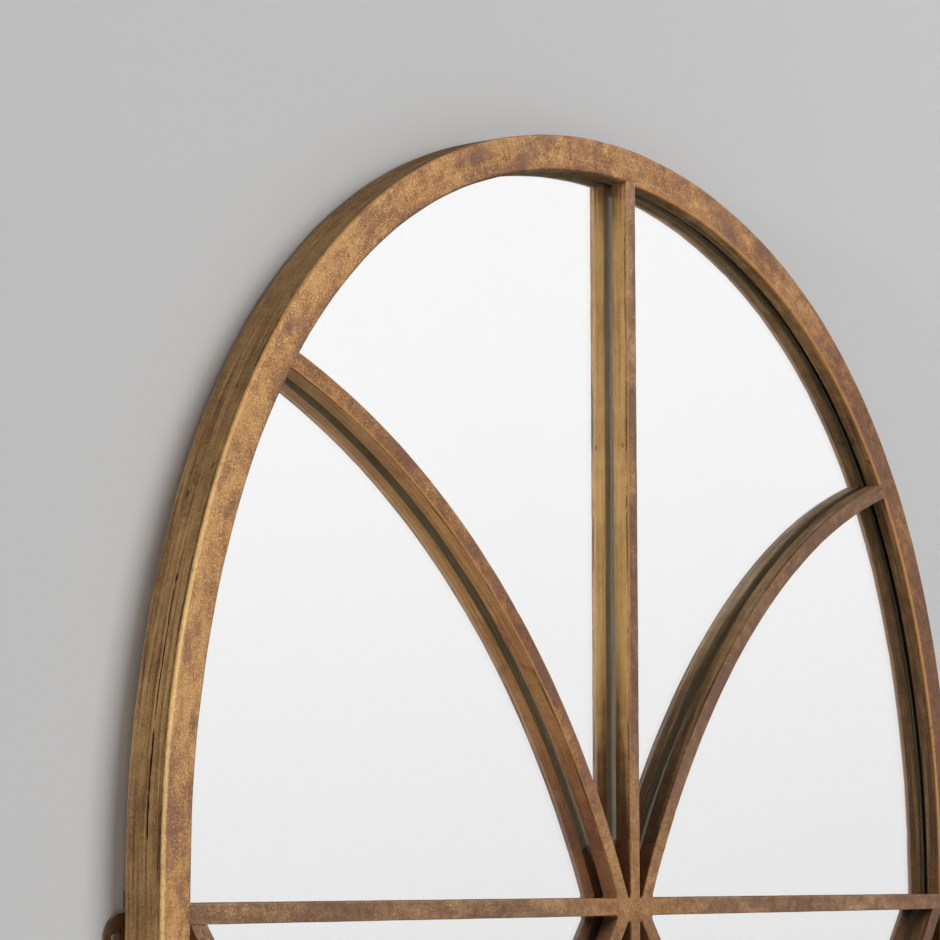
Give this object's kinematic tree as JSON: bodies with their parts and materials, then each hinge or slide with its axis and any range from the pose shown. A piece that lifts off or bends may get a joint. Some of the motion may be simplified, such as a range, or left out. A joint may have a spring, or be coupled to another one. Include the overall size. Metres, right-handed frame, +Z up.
{
  "type": "arched mirror",
  "caption": "Arched wall mirror with an antique-gold wooden frame, curved and crossed glazing bars over silvered glass, a screwed back panel and a plate at each side for the wall.",
  "frame": {"origin": "On the wall, midway between the wall holes of the two side plates.", "axes": "X to the right seen from the front, Y from the front towards the wall, Z up."},
  "size_m": [1.03, 0.03, 1.759],
  "materials": {
    "antique_gold_wood": "satin",
    "aged_brown_wood": "matte",
    "pale_dowel_wood": "matte",
    "hardboard": "matte",
    "plated_steel": "satin",
    "aged_brass": "satin",
    "clear_glass": "gloss",
    "silvering": "polished",
    "black_tape": "matte",
    "brown_card": "matte",
    "grey_felt": "matte"
  },
  "bodies": {
    "root": {"back_arch_crown": "aged_brown_wood", "back_arch_left": "aged_brown_wood", "back_arch_right": "aged_brown_wood", "back_bottom_rail": "aged_brown_wood", "back_panel": "hardboard", "back_stile_left": "aged_brown_wood", "back_stile_right": "aged_brown_wood", "bar_dowels": "pale_dowel_wood", "centre_bar_1": "antique_gold_wood", "centre_bar_2": "antique_gold_wood", "centre_bar_3": "antique_gold_wood", "curved_bar_left": "antique_gold_wood", "curved_bar_right": "antique_gold_wood", "frame_dowels": "pale_dowel_wood", "front_arch_left": "antique_gold_wood", "front_arch_right": "antique_gold_wood", "front_bottom_rail": "antique_gold_wood", "front_stile_left": "antique_gold_wood", "front_stile_right": "antique_gold_wood", "hub_1": "antique_gold_wood", "hub_2": "antique_gold_wood", "lattice_1_inward_left": "antique_gold_wood", "lattice_1_inward_right": "antique_gold_wood", "lattice_1_outward_left": "antique_gold_wood", "lattice_1_outward_right": "antique_gold_wood", "lattice_2_inward_left": "antique_gold_wood", "lattice_2_inward_right": "antique_gold_wood", "lattice_2_outward_left": "antique_gold_wood", "lattice_2_outward_right": "antique_gold_wood", "layer_screws": "plated_steel", "mirror_glass": "clear_glass", "packing_strips": "brown_card", "panel_screws": "plated_steel", "plate_screws": "plated_steel", "silver_backing": "silvering", "spacer_tape": "black_tape", "transom_1_left": "antique_gold_wood", "transom_1_right": "antique_gold_wood", "transom_2_left": "antique_gold_wood", "transom_2_right": "antique_gold_wood", "wall_bumpers": "grey_felt", "wall_plate_left": "aged_brass", "wall_plate_right": "aged_brass"}
  },
  "joints": []
}
